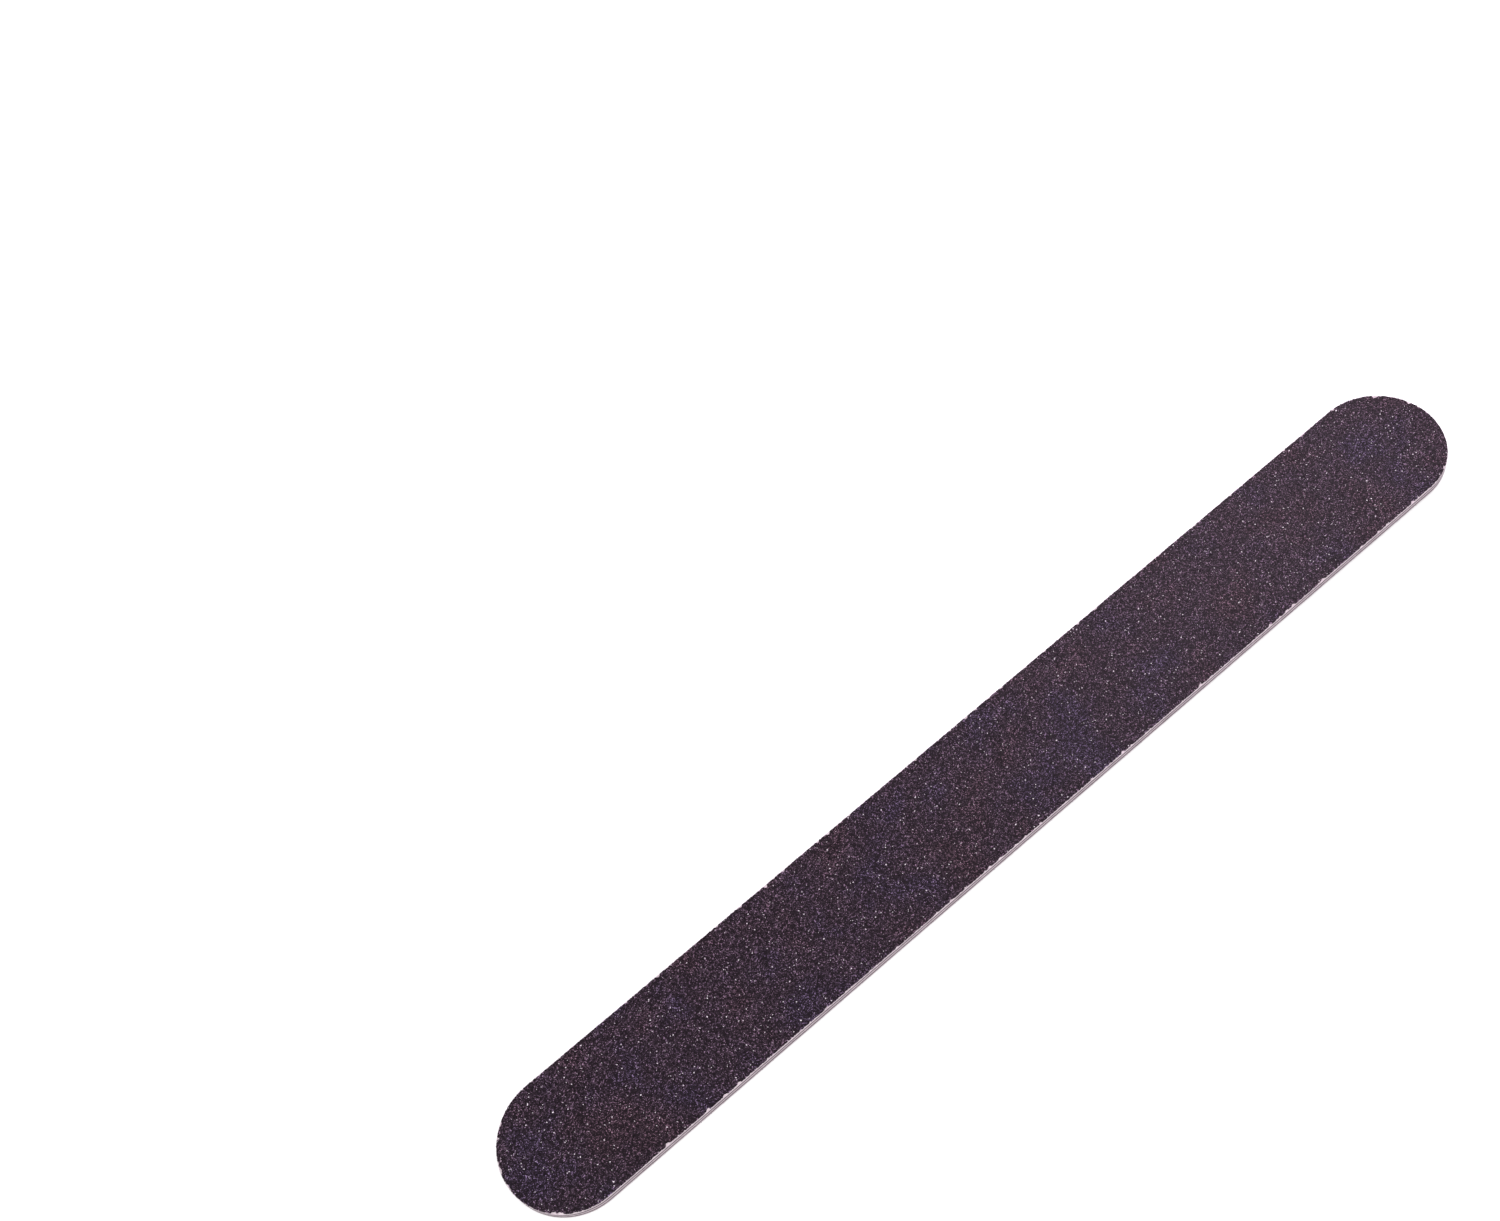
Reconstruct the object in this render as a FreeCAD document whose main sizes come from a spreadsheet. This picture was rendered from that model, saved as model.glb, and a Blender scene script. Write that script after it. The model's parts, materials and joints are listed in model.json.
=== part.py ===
import FreeCAD, Part
import math
import os
import Sketcher

# A double-sided emery board, in millimetres.
# Two abrasive papers are glued to a card core, coarse grit on top and fine grit underneath,
# and the laminate is stamped out with one cut, so the card and both papers end flush.
# The cut rolls the paper's edge over where the blade goes in and eases it where it comes out,
# and it breaks the brittle resin and grain back from that edge, all the way round.
# X runs along the board, Y across it and Z up through the layers.
# The origin is on the resting plane, under the middle of the board.

SHEET = "Sizes"

# Name of each driving size, its value (millimetres, or no unit for a share) and its meaning.
DRIVING_SIZES = [
    ("board_length", 178.0, "length from round end to round end"),
    ("board_width", 20.0, "width, and the diameter of both round ends"),
    ("core_thickness", 0.66, "card core"),
    ("coarse_glue_thickness", 0.12, "glue between the core and the coarse paper"),
    ("fine_glue_thickness", 0.12, "glue between the core and the fine paper"),
    ("coarse_paper_thickness", 0.42, "backing paper of the coarse side"),
    ("fine_paper_thickness", 0.42, "backing paper of the fine side"),
    ("coarse_bond_thickness", 0.06, "resin that anchors the coarse grain"),
    ("fine_bond_thickness", 0.04, "resin that anchors the fine grain"),
    ("coarse_grain_thickness", 0.18, "coarse grain standing above its resin"),
    ("fine_grain_thickness", 0.09, "fine grain standing above its resin"),
    ("entry_roll_radius", 0.10, "paper edge rolled over where the blade goes in"),
    ("exit_roll_radius", 0.05, "paper edge eased where the blade comes out"),
    ("glue_setback", 0.03, "how far the glue stops short of the cut"),
    ("bond_setback", 0.06, "bare paper between its rolled edge and the resin"),
    ("grain_setback", 0.04, "bare resin between its own edge and the grain"),
    ("grain_shoulder_share", 0.5, "round on a grain layer's rim, as a share of its thickness"),
]

# The layers from the resting plane upwards: each one's name and the size that is its thickness.
STACK = [
    ("fine_grain_layer", "fine_grain_thickness"),
    ("fine_bond_coat", "fine_bond_thickness"),
    ("fine_backing_paper", "fine_paper_thickness"),
    ("fine_glue_film", "fine_glue_thickness"),
    ("card_core", "core_thickness"),
    ("coarse_glue_film", "coarse_glue_thickness"),
    ("coarse_backing_paper", "coarse_paper_thickness"),
    ("coarse_bond_coat", "coarse_bond_thickness"),
    ("coarse_grain_layer", "coarse_grain_thickness"),
]

# The side of the board that each edge roll belongs to.
ROLL_RADIUS = {"coarse": "entry_roll_radius", "fine": "exit_roll_radius"}


def cell(name):
    """The expression that reads one driving size."""
    return SHEET + "." + name


def thickness_of(layer):
    """The name of the size that sets a layer's thickness."""
    return dict(STACK)[layer]


def height_under(layer):
    """The expression for the height of a layer's lower face: all that lies below it."""
    names = [name for name, _ in STACK]
    below = STACK[: names.index(layer)]
    return " + ".join([cell(thickness) for _, thickness in below] or ["0"])


def make_sheet(document):
    """Write the driving sizes into the sheet, one named cell each."""
    sheet = document.addObject("Spreadsheet::Sheet", SHEET)
    for row, (name, value, meaning) in enumerate(DRIVING_SIZES, start=1):
        sheet.set("A%d" % row, name)
        sheet.set("B%d" % row, str(value))
        sheet.set("C%d" % row, meaning)
        sheet.setAlias("B%d" % row, name)
    document.recompute()
    return sheet


def ground_plane(body):
    """The body's own XY plane."""
    for plane in body.Origin.OriginFeatures:
        if plane.Role == "XY_Plane":
            return plane
    raise RuntimeError("body without an XY plane: " + body.Label)


def draw_outline(body, sheet, setbacks):
    """Sketch the board's outline: two straight sides joined by half-round ends.

    setbacks names the sizes by which the outline lies inside the cut, all the way round. The end
    arcs keep their centres then, so the two drawing dimensions are centre distance and radius.
    """
    sketch = body.newObject("Sketcher::SketchObject", body.Name + "_outline")
    sketch.AttachmentSupport = [(ground_plane(body), "")]
    sketch.MapMode = "FlatFace"

    radius = sheet.board_width / 2 - sum(sheet.get(name) for name in setbacks)
    reach = (sheet.board_length - sheet.board_width) / 2
    up = FreeCAD.Vector(0, 0, 1)
    right_circle = Part.Circle(FreeCAD.Vector(reach, 0, 0), up, radius)
    left_circle = Part.Circle(FreeCAD.Vector(-reach, 0, 0), up, radius)
    near_left = FreeCAD.Vector(-reach, -radius, 0)
    near_right = FreeCAD.Vector(reach, -radius, 0)
    far_left = FreeCAD.Vector(-reach, radius, 0)
    far_right = FreeCAD.Vector(reach, radius, 0)
    quarter_turn = math.pi / 2

    near_side = sketch.addGeometry(Part.LineSegment(near_left, near_right))
    right_end = sketch.addGeometry(Part.ArcOfCircle(right_circle, -quarter_turn, quarter_turn))
    far_side = sketch.addGeometry(Part.LineSegment(far_right, far_left))
    left_end = sketch.addGeometry(Part.ArcOfCircle(left_circle, quarter_turn, 3 * quarter_turn))

    first, last, centre = 1, 2, 3
    path = [near_side, right_end, far_side, left_end]
    for edge, following in zip(path, path[1:] + path[:1]):
        sketch.addConstraint(Sketcher.Constraint("Tangent", edge, last, following, first))
    sketch.addConstraint(Sketcher.Constraint("Horizontal", near_side))
    sketch.addConstraint(Sketcher.Constraint("Equal", left_end, right_end))
    axes, origin_point = -1, 1
    middle = ("Symmetric", left_end, centre, right_end, centre, axes, origin_point)
    sketch.addConstraint(Sketcher.Constraint(*middle))
    spacing = ("DistanceX", left_end, centre, right_end, centre, 2 * reach)
    spacing_index = sketch.addConstraint(Sketcher.Constraint(*spacing))
    sketch.renameConstraint(spacing_index, "centre_distance")
    radius_index = sketch.addConstraint(Sketcher.Constraint("Radius", right_end, radius))
    sketch.renameConstraint(radius_index, "end_radius")

    inside = "".join(" - " + cell(name) for name in setbacks)
    sketch.setExpression(
        "Constraints.centre_distance", cell("board_length") + " - " + cell("board_width")
    )
    sketch.setExpression("Constraints.end_radius", cell("board_width") + " / 2" + inside)
    return sketch


def make_layer(document, sheet, label, setbacks=()):
    """One sheet of the laminate, as thick as its size says and seated on the layer below."""
    body = document.addObject("PartDesign::Body", label)
    body.Label = label
    pad = body.newObject("PartDesign::Pad", label + "_pad")
    pad.Profile = draw_outline(body, sheet, setbacks)
    pad.setExpression("Length", cell(thickness_of(label)))
    body.Tip = pad
    body.setExpression("Placement.Base.z", height_under(label))
    document.recompute()
    return body


def round_rim(document, body, side, radius):
    """Round the rim of the face that looks out of the board on one side."""
    pad = body.Tip
    box = pad.Shape.BoundBox
    level = box.ZMax if side == "coarse" else box.ZMin
    rim = []
    for number, edge in enumerate(pad.Shape.Edges, start=1):
        heights = [vertex.Z for vertex in edge.Vertexes]
        if all(math.isclose(height, level, abs_tol=pad.Shape.getTolerance(1)) for height in heights):
            rim.append("Edge%d" % number)
    fillet = body.newObject("PartDesign::Fillet", body.Name + "_rim")
    fillet.Base = (pad, rim)
    fillet.setExpression("Radius", radius)
    body.Tip = fillet
    document.recompute()


def make_card_core(document, sheet):
    """The stiff card in the middle of the board."""
    return make_layer(document, sheet, "card_core")


def make_glue_film(document, sheet, side):
    """The glue under one paper, which leaves a fine groove along the cut edge."""
    return make_layer(document, sheet, side + "_glue_film", ["glue_setback"])


def make_backing_paper(document, sheet, side):
    """The paper that carries one side's abrasive, with the outer edge of its cut rolled over."""
    body = make_layer(document, sheet, side + "_backing_paper")
    round_rim(document, body, side, cell(ROLL_RADIUS[side]))
    return body


def make_bond_coat(document, sheet, side):
    """The resin film that the grain is set in, broken back from the paper's rolled edge."""
    return make_layer(document, sheet, side + "_bond_coat", [ROLL_RADIUS[side], "bond_setback"])


def make_grain_layer(document, sheet, side):
    """The closed layer of grain tips above the resin, with its rim crumbled to a round."""
    label = side + "_grain_layer"
    setbacks = [ROLL_RADIUS[side], "bond_setback", "grain_setback"]
    body = make_layer(document, sheet, label, setbacks)
    radius = cell(thickness_of(label)) + " * " + cell("grain_shoulder_share")
    round_rim(document, body, side, radius)
    return body


def make_board(document):
    """Lay up the whole board, core first and then each side outwards."""
    sheet = make_sheet(document)
    layers = [make_card_core(document, sheet)]
    for side in ("coarse", "fine"):
        layers.append(make_glue_film(document, sheet, side))
        layers.append(make_backing_paper(document, sheet, side))
        layers.append(make_bond_coat(document, sheet, side))
        layers.append(make_grain_layer(document, sheet, side))
    return layers


def check_board(document, layers):
    """Stop on any feature that failed or any layer that isn't one sound solid."""
    for item in document.Objects:
        if "Invalid" in item.State or "Error" in item.State:
            raise RuntimeError("%s failed: %s" % (item.Label, item.State))
    for layer in layers:
        shape = layer.Shape
        if shape.isNull() or not shape.isValid() or len(shape.Solids) != 1:
            raise RuntimeError(layer.Label + " is not one valid solid")


def write_parts(layers):
    """Write each layer to a file of its own."""
    os.makedirs("parts", exist_ok=True)
    for layer in layers:
        box = layer.Shape.BoundBox
        print("%-22s %8.2f mm3  z %.2f to %.2f" % (layer.Label, layer.Shape.Volume, box.ZMin, box.ZMax))
        layer.Shape.exportStep(os.path.join("parts", layer.Label + ".step"))


board_document = FreeCAD.newDocument("emery_board")
board_layers = make_board(board_document)
board_document.recompute()
check_board(board_document, board_layers)
write_parts(board_layers)
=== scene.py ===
"""Looks of a double-sided emery board, built around its packed layers.

The card and both papers get their cut edge, the resin gets its broken rim, and every grain is a
solid of its own: coarse grain on top, fine grain underneath. Everything is in metres, in the
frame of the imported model: X along the board, Y across it, Z up through the layers.
"""

import json
import math

import bpy
import numpy as np
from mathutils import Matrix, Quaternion, Vector, noise

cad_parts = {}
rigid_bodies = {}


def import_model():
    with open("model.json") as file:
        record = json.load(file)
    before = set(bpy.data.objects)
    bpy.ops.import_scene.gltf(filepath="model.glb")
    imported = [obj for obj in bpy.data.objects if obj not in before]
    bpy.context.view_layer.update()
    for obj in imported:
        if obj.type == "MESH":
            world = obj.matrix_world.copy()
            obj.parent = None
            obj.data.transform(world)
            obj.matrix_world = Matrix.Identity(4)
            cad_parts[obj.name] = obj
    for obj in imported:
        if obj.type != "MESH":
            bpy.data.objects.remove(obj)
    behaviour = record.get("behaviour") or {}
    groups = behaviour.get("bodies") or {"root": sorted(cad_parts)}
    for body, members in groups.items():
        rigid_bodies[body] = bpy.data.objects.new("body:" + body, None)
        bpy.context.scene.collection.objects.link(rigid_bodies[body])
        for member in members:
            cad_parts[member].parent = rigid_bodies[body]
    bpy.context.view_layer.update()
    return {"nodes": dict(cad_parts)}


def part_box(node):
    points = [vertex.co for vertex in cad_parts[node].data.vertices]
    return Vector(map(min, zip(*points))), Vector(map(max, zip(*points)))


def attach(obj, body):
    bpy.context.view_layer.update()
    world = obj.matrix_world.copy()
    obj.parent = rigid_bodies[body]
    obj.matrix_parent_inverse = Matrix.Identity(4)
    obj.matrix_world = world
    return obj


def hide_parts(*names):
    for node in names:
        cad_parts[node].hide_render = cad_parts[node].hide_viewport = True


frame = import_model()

bl_info = {
    "name": "Emery Board",
    "version": (1, 0, 0),
    "blender": (4, 5, 0),
    "location": "View3D > Sidebar > Emery Board",
    "description": "Dresses the layers of an emery board with cut edges, resin and grain",
    "category": "Object",
}

MM = 0.001
BODY = "root"
# Name of the map that a piece brings along for its colours to be baked on.
BAKE_MAP = "OFBake"

# The board's own sizes, read from the frame. The reach is from its middle to the centre of a round end.
CORE_LOW, CORE_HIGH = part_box("card_core")
END_RADIUS = CORE_HIGH.y
REACH = CORE_HIGH.x - END_RADIUS
BOARD_LENGTH = CORE_HIGH.x - CORE_LOW.x

# The two abrasive sides and the way each one faces, up or down.
SIDES = {"coarse": 1, "fine": -1}

# Names of the values that every grain carries on its mesh.
TONE = "grain_tone"
TINT = "grain_tint"

# Seeds of the fibre patterns, of the torn fibres in the cut and of the chips in the resin's rim.
CARD_PATTERN_SEED = 3.0
PAPER_PATTERN_SEED = 1.0
CARD_CUT_SEED = 5.0
PAPER_CUT_SEED = 11.0
CHIP_SEED = 7.0

# Seeds of what differs from grain to grain.
TURN_SEED = 11
SIZE_SEED = 12
SHAPE_SEED = 13
TONE_SEED = 14
MAP_SEED = 15


def length_property(name, description, default):
    """A size that a user may change, in metres."""
    return bpy.props.FloatProperty(
        name=name, description=description, default=default, min=0.0, precision=6, unit="LENGTH"
    )


def colour_property(name, description, default):
    """A colour that a user may change."""
    return bpy.props.FloatVectorProperty(
        name=name, description=description, default=default, min=0.0, max=1.0, subtype="COLOR"
    )


class EmerySizes(bpy.types.PropertyGroup):
    """Sizes of the cut edge, the broken rim and the grain."""

    edge_step: length_property("Edge step", "Distance between two points round the cut", 0.10 * MM)
    row_step: length_property("Row step", "Height between two rows of points on the cut", 0.06 * MM)
    paper_fuzz: length_property("Paper fuzz", "How far the cut of the papers is rough", 0.015 * MM)
    core_fuzz: length_property("Core fuzz", "How far the cut of the card is rough", 0.022 * MM)
    fibre_length: length_property("Fibre length", "Length of the torn fibres in the cut", 0.5 * MM)
    fibre_height: length_property("Fibre height", "Height of the torn fibres in the cut", 0.05 * MM)
    coarse_chip: length_property("Coarse chip", "Deepest chip in the coarse coat's rim", 0.38 * MM)
    fine_chip: length_property("Fine chip", "Deepest chip in the fine coat's rim", 0.20 * MM)
    chip_length: length_property("Chip length", "Length of the chips along the rim", 0.9 * MM)
    coarse_spacing: length_property("Coarse spacing", "Least distance of coarse grains", 0.145 * MM)
    fine_spacing: length_property("Fine spacing", "Least distance of fine grains", 0.145 * MM)
    coarse_grain: length_property("Coarse grain", "Mean size of the coarse grain", 0.21 * MM)
    fine_grain: length_property("Fine grain", "Mean size of the fine grain", 0.18 * MM)


class EmeryColours(bpy.types.PropertyGroup):
    """Colours of the papers, the card, the glue, the resin, the grain and the floor."""

    grain: colour_property("Grain", "Most of the grain", (0.0465, 0.0299, 0.0447))
    # Pale grain: partly real pale crystals, partly painted glints that stand for light glinting off
    # facets.
    pale_grain_and_painted_glint: colour_property("Pale grain and painted glint", "The few grains that glitter", (0.75, 0.68, 0.74))
    tint_blue: colour_property("Blue tint", "Cool patches in the grain", (0.0412, 0.0299, 0.057))
    tint_red: colour_property("Red tint", "Warm patches in the grain", (0.0525, 0.0299, 0.0402))
    resin: colour_property("Resin", "Resin between the grains", (0.009, 0.005, 0.008))
    resin_edge: colour_property("Resin edge", "Resin where it has broken", (0.026, 0.016, 0.024))
    paper: colour_property("Paper", "Cut edge of the papers", (0.56, 0.485, 0.52))
    paper_shade: colour_property("Paper shade", "Shaded fibres of the papers", (0.28, 0.22, 0.25))
    card: colour_property("Card", "Cut edge of the card", (0.50, 0.425, 0.46))
    card_shade: colour_property("Card shade", "Shaded fibres of the card", (0.24, 0.185, 0.21))
    glue: colour_property("Glue", "Glue lines in the cut", (0.03, 0.018, 0.021))
    soaked: colour_property("Soaked fibres", "Fibres that the glue has soaked", (0.055, 0.038, 0.045))
    floor: colour_property("Floor", "Studio floor", (0.90, 0.90, 0.90))


def connect(tree, node, wires):
    """Give inputs of a node their values, or link them to the sockets that feed them."""
    for name, value in wires.items():
        if isinstance(value, bpy.types.NodeSocket):
            tree.links.new(value, node.inputs[name])
        else:
            node.inputs[name].default_value = value


def add_node(tree, kind, settings=None, wires=None):
    """Add a node: settings are its own values, wires are what its inputs get."""
    node = tree.nodes.new(kind)
    for name, value in (settings or {}).items():
        setattr(node, name, value)
    connect(tree, node, wires or {})
    return node


def math_node(tree, operation, first, second=0.0):
    """The result of one sum on one or two values or sockets."""
    return add_node(tree, "ShaderNodeMath", {"operation": operation}, {0: first, 1: second}).outputs[0]


def vector_node(tree, operation, first, second):
    """The result of one sum on two places or directions."""
    wires = {0: first, 1: second}
    return add_node(tree, "ShaderNodeVectorMath", {"operation": operation}, wires).outputs[0]


def split_place(tree, place):
    """The X, Y and Z of a place or a direction."""
    return add_node(tree, "ShaderNodeSeparateXYZ", None, {0: place}).outputs


def join_place(tree, x, y, z=0.0):
    """A place or a direction from its X, Y and Z."""
    return add_node(tree, "ShaderNodeCombineXYZ", None, {"X": x, "Y": y, "Z": z}).outputs[0]


def map_range(tree, value, start=0.0, end=1.0, low=0.0, high=1.0, smooth=True):
    """A value that goes from low to high while another one goes from start to end."""
    course = "SMOOTHSTEP" if smooth else "LINEAR"
    return add_node(tree, "ShaderNodeMapRange", {"interpolation_type": course}, {
        "Value": value,
        "From Min": start,
        "From Max": end,
        "To Min": low,
        "To Max": high,
    }).outputs[0]


# Where a Mix node has its two colours and their mixture, because its other sockets share their names.
MIX_FIRST = 6
MIX_SECOND = 7
MIX_RESULT = 2


def mix_colours(tree, share, first, second):
    """A mixture of two colours, with the share that the second one has in it."""
    wires = {"Factor": share, MIX_FIRST: first, MIX_SECOND: second}
    return add_node(tree, "ShaderNodeMix", {"data_type": "RGBA"}, wires).outputs[MIX_RESULT]


def cloud_pattern(tree, place, scale, detail, roughness=0.5, seed=None):
    """A cloudy pattern of values from 0 to 1. Each seed gives another pattern of the same kind."""
    wires = {"Vector": place, "Scale": scale, "Detail": detail, "Roughness": roughness}
    settings = {}
    if seed is not None:
        settings["noise_dimensions"] = "4D"
        wires["W"] = seed
    return add_node(tree, "ShaderNodeTexNoise", settings, wires).outputs["Fac"]


def surface_place(tree):
    """The place of a spot on the surface, in the frame of the board."""
    return add_node(tree, "ShaderNodeTexCoord").outputs["Object"]


def opaque(colour):
    """A colour with the fourth number that a node's colour socket wants."""
    return (*colour, 1.0)


def new_group(name, kind, inputs, outputs):
    """An empty node group with named sockets: the group, its input sockets and its output node."""
    tree = bpy.data.node_groups.new(name, kind)
    for socket_name, socket_kind, default in inputs:
        socket = tree.interface.new_socket(socket_name, in_out="INPUT", socket_type=socket_kind)
        if default is not None:
            socket.default_value = default
    for socket_name, socket_kind in outputs:
        tree.interface.new_socket(socket_name, in_out="OUTPUT", socket_type=socket_kind)
    entry = tree.nodes.new("NodeGroupInput")
    leave = tree.nodes.new("NodeGroupOutput")
    return tree, entry.outputs, leave


def new_material(name):
    """A material with a plain Principled shader: the material, its tree and the shader."""
    material = bpy.data.materials.new(name)
    material.use_nodes = True
    tree = material.node_tree
    tree.nodes.clear()
    shader = tree.nodes.new("ShaderNodeBsdfPrincipled")
    surface = tree.nodes.new("ShaderNodeOutputMaterial")
    tree.links.new(shader.outputs["BSDF"], surface.inputs["Surface"])
    return material, tree, shader


def shared_group(name, build):
    """A node group that is built once and then used by everything that asks for it."""
    return bpy.data.node_groups.get(name) or build(name)


def place_group(tree, group, wires):
    """Put a shared node group into a material. Returns its output sockets."""
    return add_node(tree, "ShaderNodeGroup", {"node_tree": group}, wires).outputs


# Shares of single fibres and of wider blots in the pattern of the cut fibres.
FIBRE_SHARE = 0.7
BLOT_SHARE = 0.3
BLOTS_PER_METRE = 450.0
# Between these values of the pattern a fibre turns from shaded to light.
SHADED_FIBRE = 0.30
LIGHT_FIBRE = 0.62
# How far from the glue the fibres are soaked and from where they are dry, in soak depths. The pattern
# is added to the distance, so the border between them is ragged.
SOAKED_WITHIN = 1.3
DRY_BEYOND = 2.3


def fibre_pattern(tree, entry, place):
    """Fibres that lie along the sheet, with wider blots among them."""
    per_metre = join_place(
        tree, entry["Fibres per metre"], entry["Fibres per metre"], entry["Layers per metre"]
    )
    stretched = vector_node(tree, "MULTIPLY", place, per_metre)
    seed = entry["Seed"]
    fibres = cloud_pattern(tree, stretched, scale=1.0, detail=5.0, roughness=0.65, seed=seed)
    blots = cloud_pattern(tree, place, scale=BLOTS_PER_METRE, detail=3.0, seed=seed)
    fibres = math_node(tree, "MULTIPLY", fibres, FIBRE_SHARE)
    blots = math_node(tree, "MULTIPLY", blots, BLOT_SHARE)
    return math_node(tree, "ADD", fibres, blots)


def soaked_share(tree, entry, place, pattern):
    """How far the nearer glue joint has soaked a fibre, from 0 to 1."""
    height = split_place(tree, place)["Z"]
    distances = []
    for joint in ("Lower joint", "Upper joint"):
        offset = math_node(tree, "SUBTRACT", height, entry[joint])
        distances.append(math_node(tree, "ABSOLUTE", offset))
    nearest = math_node(tree, "MINIMUM", *distances)
    depths = math_node(tree, "DIVIDE", nearest, entry["Soak depth"])
    ragged = math_node(tree, "ADD", depths, pattern)
    return map_range(tree, ragged, SOAKED_WITHIN, DRY_BEYOND, low=1.0, high=0.0)


def build_fibre_group(name):
    """Fibres of cut paper and card: their colour, and a height for the bump.

    The fibres nearest to a glue joint have soaked it up and are darker.
    """
    inputs = [
        ("Colour", "NodeSocketColor", None),
        ("Shade", "NodeSocketColor", None),
        ("Soaked", "NodeSocketColor", None),
        ("Lower joint", "NodeSocketFloat", 0.0),
        ("Upper joint", "NodeSocketFloat", 0.0),
        ("Soak depth", "NodeSocketFloat", 0.12 * MM),
        ("Fibres per metre", "NodeSocketFloat", 2500.0),
        ("Layers per metre", "NodeSocketFloat", 14000.0),
        ("Seed", "NodeSocketFloat", 0.0),
    ]
    outputs = [("Colour", "NodeSocketColor"), ("Height", "NodeSocketFloat")]
    tree, entry, leave = new_group(name, "ShaderNodeTree", inputs, outputs)
    place = surface_place(tree)
    pattern = fibre_pattern(tree, entry, place)
    light = map_range(tree, pattern, SHADED_FIBRE, LIGHT_FIBRE)
    dry = mix_colours(tree, light, entry["Shade"], entry["Colour"])
    soaked = soaked_share(tree, entry, place, pattern)
    connect(tree, leave, {
        "Colour": mix_colours(tree, soaked, dry, entry["Soaked"]),
        "Height": pattern,
    })
    return tree


# The tint at which a patch of grain is neither blue nor red, the tints at which it is one of them, and
# how far it then leans to that colour.
NEUTRAL_TINT = 0.50
BLUE_TINT = 0.85
RED_TINT = 0.15
TINT_SHARE = 0.75
# The tone of a grain of middle brightness.
MIDDLE_TONE = 0.5
# Roughness of the grains up to a dark tone and of the lightest one.
DARK_TONE = 0.2
DARK_ROUGHNESS = 0.55
LIGHT_ROUGHNESS = 0.22


def build_grain_group(name):
    """Colour and roughness of a grain, from its tone and from the tint of its patch of the board."""
    inputs = [
        ("Tone", "NodeSocketFloat", 0.5),
        ("Tint", "NodeSocketFloat", 0.5),
        ("Grain", "NodeSocketColor", None),
        ("Pale", "NodeSocketColor", None),
        ("Blue", "NodeSocketColor", None),
        ("Red", "NodeSocketColor", None),
        ("Contrast", "NodeSocketFloat", 5.2),
        ("Pale share", "NodeSocketFloat", 0.03),
    ]
    outputs = [("Colour", "NodeSocketColor"), ("Roughness", "NodeSocketFloat")]
    tree, entry, leave = new_group(name, "ShaderNodeTree", inputs, outputs)
    tone = entry["Tone"]
    cool = map_range(tree, entry["Tint"], NEUTRAL_TINT, BLUE_TINT, high=TINT_SHARE)
    warm = map_range(tree, entry["Tint"], NEUTRAL_TINT, RED_TINT, high=TINT_SHARE)
    cooled = mix_colours(tree, cool, entry["Grain"], entry["Blue"])
    tinted = mix_colours(tree, warm, cooled, entry["Red"])
    offset = math_node(tree, "SUBTRACT", tone, MIDDLE_TONE)
    doublings = math_node(tree, "MULTIPLY", offset, entry["Contrast"])
    gain = math_node(tree, "POWER", 2.0, doublings)
    shaded = add_node(tree, "ShaderNodeVectorMath", {"operation": "SCALE"}, {0: tinted, "Scale": gain})
    # The palest tones are partly real pale crystals and partly painted glints: a fixed light colour in
    # place of light glinting off facets.
    first_pale_and_glint = math_node(tree, "SUBTRACT", 1.0, entry["Pale share"])
    pale_and_glint = map_range(tree, tone, first_pale_and_glint, 1.0)
    connect(tree, leave, {
        "Colour": mix_colours(tree, pale_and_glint, shaded.outputs[0], entry["Pale"]),
        "Roughness": map_range(tree, tone, DARK_TONE, 1.0, DARK_ROUGHNESS, LIGHT_ROUGHNESS),
    })
    return tree


# How fine the patches in a skin of resin are, and between which of their values it turns to its edge
# colour.
SKIN_PATCHES_PER_METRE = 2200.0
WHOLE_SKIN = 0.52
BROKEN_SKIN = 0.72
# Roughness of the skin, from its smoothest to its dullest patch.
SMOOTH_SKIN = 0.25
DULL_SKIN = 0.6


def build_resin_group(name):
    """Skin of resin or glue: its colour and roughness in patches, and lumps for the bump."""
    inputs = [
        ("Colour", "NodeSocketColor", None),
        ("Edge colour", "NodeSocketColor", None),
        ("Lumps per metre", "NodeSocketFloat", 5000.0),
    ]
    outputs = [
        ("Colour", "NodeSocketColor"),
        ("Roughness", "NodeSocketFloat"),
        ("Height", "NodeSocketFloat"),
    ]
    tree, entry, leave = new_group(name, "ShaderNodeTree", inputs, outputs)
    place = surface_place(tree)
    lumps = add_node(tree, "ShaderNodeTexVoronoi", {"feature": "SMOOTH_F1"}, {
        "Vector": place,
        "Scale": entry["Lumps per metre"],
        "Smoothness": 0.6,
    })
    patches = cloud_pattern(tree, place, scale=SKIN_PATCHES_PER_METRE, detail=4.0, roughness=0.6)
    broken = map_range(tree, patches, WHOLE_SKIN, BROKEN_SKIN)
    connect(tree, leave, {
        "Colour": mix_colours(tree, broken, entry["Colour"], entry["Edge colour"]),
        "Roughness": map_range(tree, patches, low=SMOOTH_SKIN, high=DULL_SKIN, smooth=False),
        "Height": lumps.outputs["Distance"],
    })
    return tree


def bump(tree, height, strength, distance):
    """A bump from a height, for the Normal socket of a shader."""
    wires = {"Height": height, "Strength": strength, "Distance": distance}
    return add_node(tree, "ShaderNodeBump", None, wires).outputs["Normal"]


def joint_height(side):
    """The height of the middle of a side's glue film."""
    low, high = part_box(side + "_glue_film")
    return (low.z + high.z) / 2


def fibre_material(name, colour, shade, soaked, seed):
    """Cut paper or card."""
    material, tree, shader = new_material(name)
    fibres = place_group(tree, shared_group("Cut fibres", build_fibre_group), {
        "Colour": opaque(colour),
        "Shade": opaque(shade),
        "Soaked": opaque(soaked),
        "Lower joint": joint_height("fine"),
        "Upper joint": joint_height("coarse"),
        "Seed": seed,
    })
    connect(tree, shader, {
        "Base Color": fibres["Colour"],
        "Normal": bump(tree, fibres["Height"], strength=0.5, distance=0.02 * MM),
        "Roughness": 0.85,
        "Specular IOR Level": 0.25,
    })
    return material


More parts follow.
